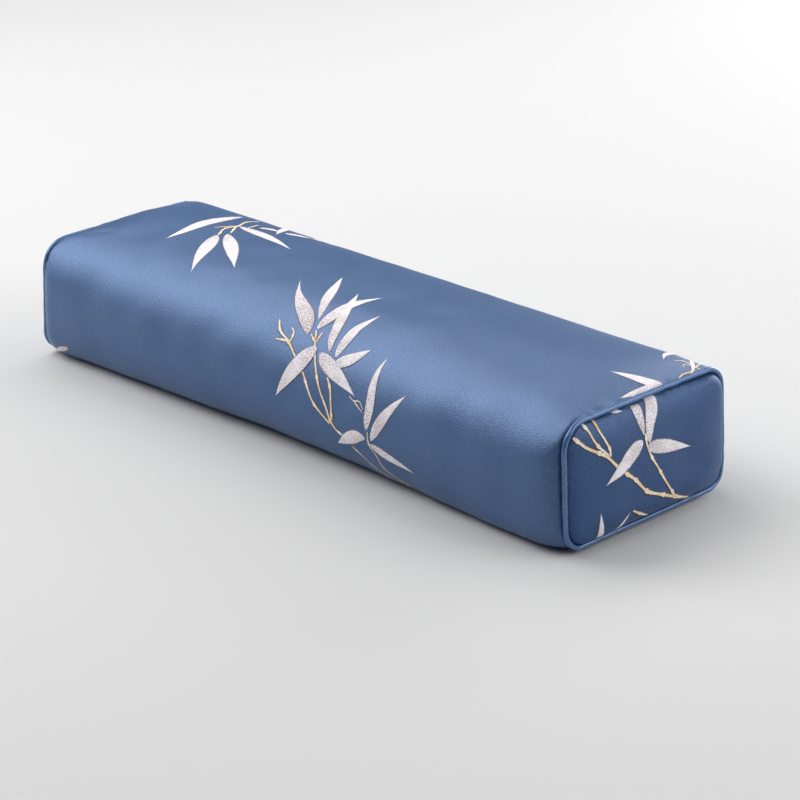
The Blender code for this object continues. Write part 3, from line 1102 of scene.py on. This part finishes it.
def weft(name, look):
    """Brocade weft: flecked threads of two tones, clearer along a leaf, in a dark outline of
    painted shadow.
    """
    make = Shading(name)
    weave = make.uv("weave")
    own = make.add("ShaderNodeSeparateXYZ", {0: make.uv("cloth")})
    tones = make.ranged(make.noise(weave, TONES, 1.0), *TONE_RANGE)
    tones = make.blended(tones, (*look.light, 1.0), (*look.warm, 1.0))

    speck = make.noise(weave, FLECKS, 2.0, 0.65)
    inputs = {0: own.outputs["X"], 1: look.clearer, 2: speck}
    clear = make.add("ShaderNodeMath", inputs, operation="MULTIPLY_ADD").outputs[0]
    flecks = make.ranged(clear, look.flecks, look.flecks + FLECK_SOFT)
    threads = make.blended(flecks, (*look.dark, 1.0), tones)

    # Painted shadow: the outline darkens the weft towards its edges.
    across = make.add("ShaderNodeMath", {0: own.outputs["Y"]}, operation="ABSOLUTE").outputs[0]
    rim = make.ranged(across, look.edge, look.edge + PAINTED_SHADOW_SOFT)
    return make.finished({
        "Base Color": make.blended(rim, threads, (*look.outline, 1.0)),
        "Roughness": 0.55,
        "Specular IOR Level": 0.4,
        "Sheen Weight": 0.15,
        "Normal": make.bumped(speck, 0.5, WEFT_BUMP),
    })


# Camera, lights and floor

LENS = 128.47
SENSOR = 36.0
CAMERA_PLACE = (1.2684, -1.2457, 0.7201)
CAMERA_AZIMUTH = 44.74
CAMERA_ELEVATION = 21.70

FLOOR_REACH = 6.0
FLOOR = {"Base Color": (0.64, 0.64, 0.64, 1.0), "Roughness": 0.9}
WORLD_LIGHT = 0.03

# Softboxes around the pillow; the azimuth turns from +X towards +Y.
LIGHT_DISTANCE = 2.0
Light = namedtuple("Light", "name azimuth elevation size power")
LIGHTS = (
    Light("left_high", 178, 54, 1.2, 12.6),
    Light("front_left_high", 225, 54, 1.2, 7.2),
    Light("front_high", 276, 55, 1.2, 6.0),
    Light("front_left", 208, 38, 1.2, 10.8),
    Light("front_left_low", 208, 24, 1.4, 8.5),
    Light("top", 135, 50, 1.2, 8.8),
    Light("back", 95, 12, 1.2, 23.5),
    Light("back_right", 70, 30, 1.2, 7.5),
    Light("right", 28, 28, 1.4, 19.0),
)


def make_camera():
    data = bpy.data.cameras.new("camera")
    data.lens = LENS
    data.sensor_width = SENSOR
    camera = link_object("camera", data)
    camera.location = CAMERA_PLACE
    tilt = math.radians(90.0 - CAMERA_ELEVATION)
    camera.rotation_euler = (tilt, 0.0, math.radians(CAMERA_AZIMUTH))
    bpy.context.scene.camera = camera


def make_light(spec):
    data = bpy.data.lights.new(spec.name, "AREA")
    data.shape = "SQUARE"
    data.size = spec.size
    data.energy = spec.power
    light = link_object(spec.name, data)
    turn, rise = math.radians(spec.azimuth), math.radians(spec.elevation)
    flat = math.cos(rise)
    place = Vector((math.cos(turn) * flat, math.sin(turn) * flat, math.sin(rise))) * LIGHT_DISTANCE
    light.location = place
    light.rotation_euler = place.to_track_quat("Z", "Y").to_euler()
    light.visible_camera = False


def make_setting():
    bpy.context.scene.view_settings.view_transform = "Standard"
    world = bpy.data.worlds.new("studio")
    world.use_nodes = True
    background = world.node_tree.nodes["Background"]
    background.inputs["Color"].default_value = (1.0, 1.0, 1.0, 1.0)
    background.inputs["Strength"].default_value = WORLD_LIGHT
    bpy.context.scene.world = world
    for light in LIGHTS:
        make_light(light)
    signs = ((-1, -1), (1, -1), (1, 1), (-1, 1))
    corners = [(x * FLOOR_REACH, y * FLOOR_REACH, 0.0) for x, y in signs]
    mesh = bpy.data.meshes.new("floor")
    mesh.from_pydata(corners, [], [(0, 1, 2, 3)])
    mesh.materials.append(Shading("pale_floor").finished(FLOOR))
    floor = link_object("floor", mesh)


def main():
    make_camera()
    body_satin = satin("body_satin", BODY_SATIN)
    # the panels' satin: the body's, darkened as painted shade
    panel_satin = satin("panel_satin", PANEL_SATIN_PAINTED_SHADE)
    # the cord's satin: the body's, lightened as painted light
    cord_satin_painted_light = satin("cord_satin_painted_light", CORD_SATIN_PAINTED_LIGHT)
    leaf_weft = weft("leaf_weft", LEAF_WEFT)
    stem_weft = weft("stem_weft", STEM_WEFT)

    body_surface = make_body_surface()
    body = make_body(body_surface, body_satin)
    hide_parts("pillow_body")

    leaves, stems = list(BODY_LEAVES), list(BODY_STEMS)
    for repeat in BACK_REPEATS:
        leaves += moved(BODY_LEAVES[repeat.leaves], repeat)
        stems += moved(BODY_STEMS[repeat.stems], repeat)
    weave_pattern("body", leaves, stems, body_reader(body_surface), leaf_weft, stem_weft)

    for word, end, seed in (("right", NEAR, 31), ("left", FAR, 32)):
        surface = make_panel_surface(end, seed)
        panel = make_panel(f"panel_{word}", end, surface, panel_satin)
        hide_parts(f"end_panel_{word}")
        leaves, stems = PANEL_LEAVES, PANEL_STEMS
        if end is FAR:
            leaves, stems = turned(leaves), turned(stems)
        weave_pattern(word, leaves, stems, panel_reader(end, surface), leaf_weft, stem_weft)
        piping = make_piping(f"cord_{word}", end, seed + 10, cord_satin_painted_light)
        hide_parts(f"piping_{word}")

    make_setting()


main()
